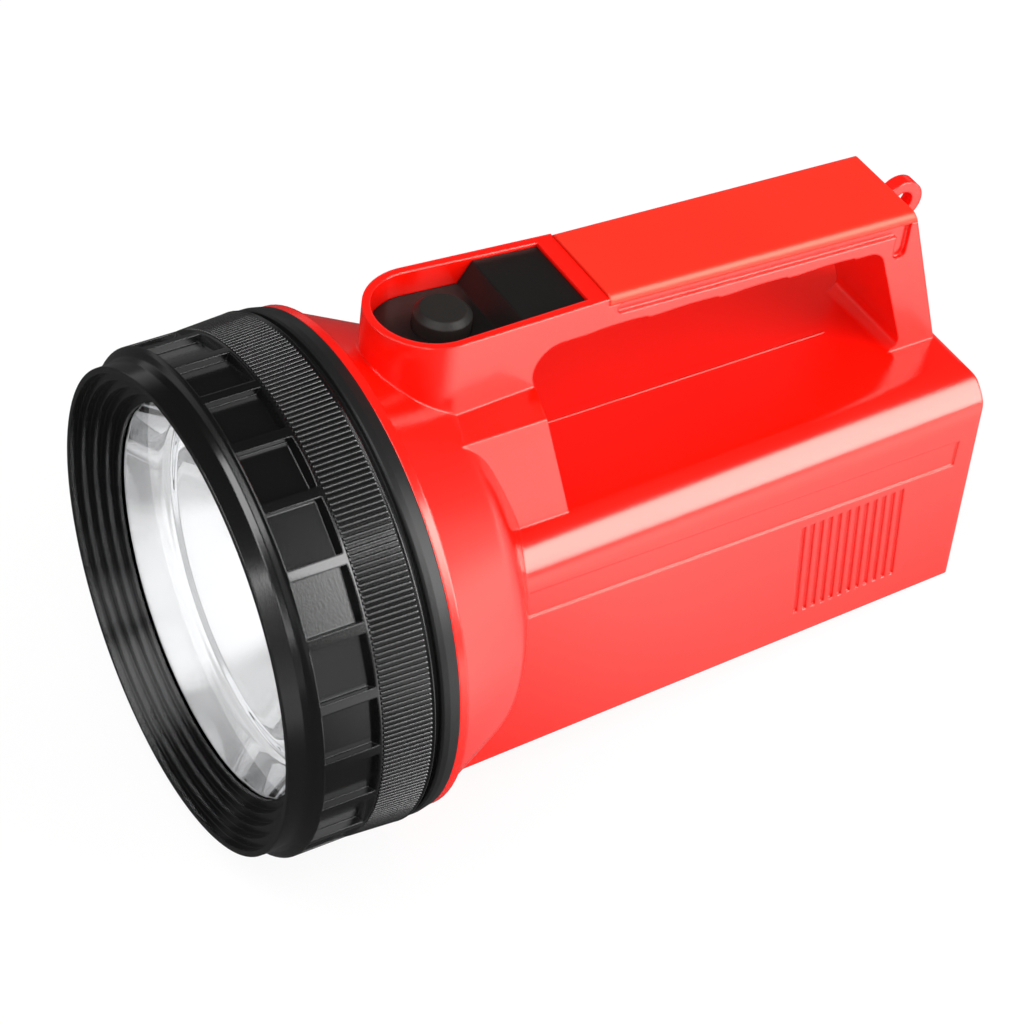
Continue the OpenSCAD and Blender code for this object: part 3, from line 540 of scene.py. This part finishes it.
link(tree, grainBump.outputs["Normal"], paper.inputs["Normal"])
link(tree, share.outputs["Value"], mix.inputs["Fac"])
link(tree, paper.outputs["BSDF"], mix.inputs[1])
link(tree, glow.outputs["Emission"], mix.inputs[2])
link(tree, mix.outputs["Shader"], floorOut.inputs["Surface"])
floorMesh.materials.append(floorFinish)
floor.visible_transmission = False  # through the lens the plain surround is seen

# Surround: white to the eye, pale low down and dark overhead in reflections, grey to white in the lens
worldLook = {"white": 1.0, "horizon": 0.4, "ceiling": 0.025, "horizonBelow": 0.0, "dimAbove": 0.35,
             "fill": 0.72, "lensGrey": 0.9, "lensWhite": 1.55, "greyBelow": 0.55, "whiteAbove": 0.8,
             "lensWay": (0.64, -0.64, 0.42)}
world = bpy.data.worlds.new("studio")
scene.world = world
world.use_nodes = True
tree = world.node_tree
tree.nodes.clear()
seen = addNode(tree, "ShaderNodeLightPath")
spots = addNode(tree, "ShaderNodeTexCoord")
facing = addNode(tree, "ShaderNodeVectorMath", operation="DOT_PRODUCT")
facing.inputs[1].default_value = Vector(worldLook["lensWay"]).normalized()
height = addNode(tree, "ShaderNodeVectorMath", operation="DOT_PRODUCT")
height.inputs[1].default_value = turnFloor.to_3x3() @ Vector((0, 0, 1))
sweep = setIn(softRange(tree, worldLook["horizonBelow"], worldLook["dimAbove"]),
              To_Min=worldLook["horizon"], To_Max=worldLook["ceiling"])
lensSweep = setIn(softRange(tree, worldLook["greyBelow"], worldLook["whiteAbove"]),
                  To_Min=worldLook["lensGrey"], To_Max=worldLook["lensWhite"])
inMirror = setIn(addNode(tree, "ShaderNodeMapRange"), To_Min=worldLook["fill"])
inLens = addNode(tree, "ShaderNodeMapRange")
strength = setIn(addNode(tree, "ShaderNodeMapRange"), To_Max=worldLook["white"])
back = addNode(tree, "ShaderNodeBackground")
back.inputs["Color"].default_value = (1, 1, 1, 1)
worldOut = addNode(tree, "ShaderNodeOutputWorld")
link(tree, spots.outputs["Generated"], height.inputs[0])
link(tree, spots.outputs["Generated"], facing.inputs[0])
link(tree, height.outputs["Value"], sweep.inputs["Value"])
link(tree, facing.outputs["Value"], lensSweep.inputs["Value"])
link(tree, seen.outputs["Is Glossy Ray"], inMirror.inputs["Value"])
link(tree, sweep.outputs["Result"], inMirror.inputs["To Max"])
link(tree, seen.outputs["Is Transmission Ray"], inLens.inputs["Value"])
link(tree, inMirror.outputs["Result"], inLens.inputs["To Min"])
link(tree, lensSweep.outputs["Result"], inLens.inputs["To Max"])
link(tree, seen.outputs["Is Camera Ray"], strength.inputs["Value"])
link(tree, inLens.outputs["Result"], strength.inputs["To Min"])
link(tree, strength.outputs["Result"], back.inputs["Strength"])
link(tree, back.outputs["Background"], worldOut.inputs["Surface"])

# Softboxes: where each stands round the lamp, how far, its width and height, and its brightness
softboxes = {
    "sideKey": {"azimuth": 128.5, "elevation": 28, "far": 1.2, "size": (0.74, 1.06), "glow": 7.2},
    "rearSide": {"azimuth": 158, "elevation": 6, "far": 1.2, "size": (0.32, 0.5), "glow": 0.25},
    "overheadFront": {"azimuth": 22, "elevation": 60, "far": 1.2, "size": (1.1, 0.5), "glow": 4.4},
    "cameraSide": {"azimuth": 60, "elevation": 28, "far": 1.2, "size": (0.3, 0.5), "glow": 3.5},
    "frontLow": {"azimuth": -16, "elevation": 4, "far": 1.1, "size": (0.4, 0.2), "glow": 4.0},
}
lampMiddle = Vector((0, 0, beamHeight))
for name, box in softboxes.items():
    data = bpy.data.lights.new(name, "AREA")
    data.shape = "RECTANGLE"
    data.size, data.size_y = box["size"]
    data.energy = math.pi * data.size * data.size_y * box["glow"]
    softbox = bpy.data.objects.new(name, data)
    way = wayTo(box["azimuth"], box["elevation"])
    softbox.location = lampMiddle + way * box["far"]
    softbox.rotation_euler = way.to_track_quat("Z", "Y").to_euler()
    softbox.visible_camera = False
    softbox.visible_transmission = False
    scene.collection.objects.link(softbox)
print("studio set:", len(softboxes), "softboxes")
